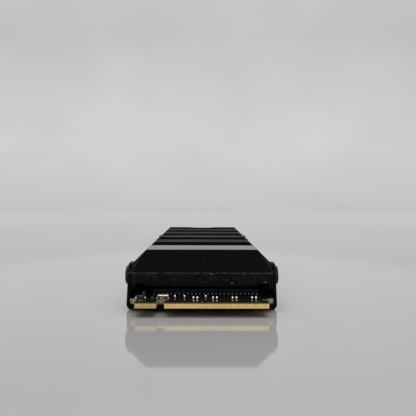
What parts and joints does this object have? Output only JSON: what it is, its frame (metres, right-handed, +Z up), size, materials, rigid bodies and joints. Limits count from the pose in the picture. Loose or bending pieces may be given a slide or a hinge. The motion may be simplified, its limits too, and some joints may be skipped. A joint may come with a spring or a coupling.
{
  "type": "gumstick solid state drive with heatsink",
  "caption": "Slim keyed-edge solid state drive board clamped in a black folded tray and a thick heatsink with a sloped nose, side chamfers and transverse channels.",
  "frame": {"origin": "centre of the footprint, on the tray's flat underside", "axes": "+Z up through the board's component side, -Y out of the edge connector, +X to the right seen from the connector end"},
  "size_m": [0.0244, 0.08, 0.0093],
  "materials": {
    "tray": "satin black anodised sheet",
    "heatsink": "black anodised, fine grained faces",
    "silver_plate": "satin silver",
    "screw": "black oxide",
    "board": "black solder mask over glass laminate",
    "package": "moulded, matt",
    "coil": "pressed ferrite",
    "ceramic": "fired ceramic",
    "chip_part": "fired ceramic with tinned ends",
    "gold": "gold plated",
    "thermal_pad": "soft matt filler pad"
  },
  "bodies": {
    "root": {"base_tray": "tray", "heatsink": "heatsink", "accent_plate": "silver_plate", "circuit_board": "board", "controller": "package", "working_memory": "package", "flash_memory_1": "package", "flash_memory_2": "package", "power_converter": "package", "inductor_1": "coil", "inductor_2": "coil", "crystal_base": "ceramic", "crystal_lid": "gold", "coupling_capacitor_1": "chip_part", "coupling_capacitor_2": "chip_part", "coupling_capacitor_3": "chip_part", "coupling_capacitor_4": "chip_part", "coupling_capacitor_5": "chip_part", "coupling_capacitor_6": "chip_part", "coupling_capacitor_7": "chip_part", "coupling_capacitor_8": "chip_part", "filter_capacitor": "chip_part", "reserve_capacitor": "chip_part", "strap_resistor_1": "chip_part", "strap_resistor_2": "chip_part", "sense_resistor_1": "chip_part", "sense_resistor_2": "chip_part", "sense_resistor_3": "chip_part", "decoupling_capacitor_1": "chip_part", "decoupling_capacitor_2": "chip_part", "decoupling_capacitor_3": "chip_part", "decoupling_capacitor_4": "chip_part", "bulk_capacitor_1": "chip_part", "bulk_capacitor_2": "chip_part", "top_thermal_pad": "thermal_pad", "bottom_thermal_pad": "thermal_pad", "side_screw_front_right": "screw", "side_screw_front_left": "screw", "side_screw_rear_right": "screw", "side_screw_rear_left": "screw"}
  },
  "joints": []
}
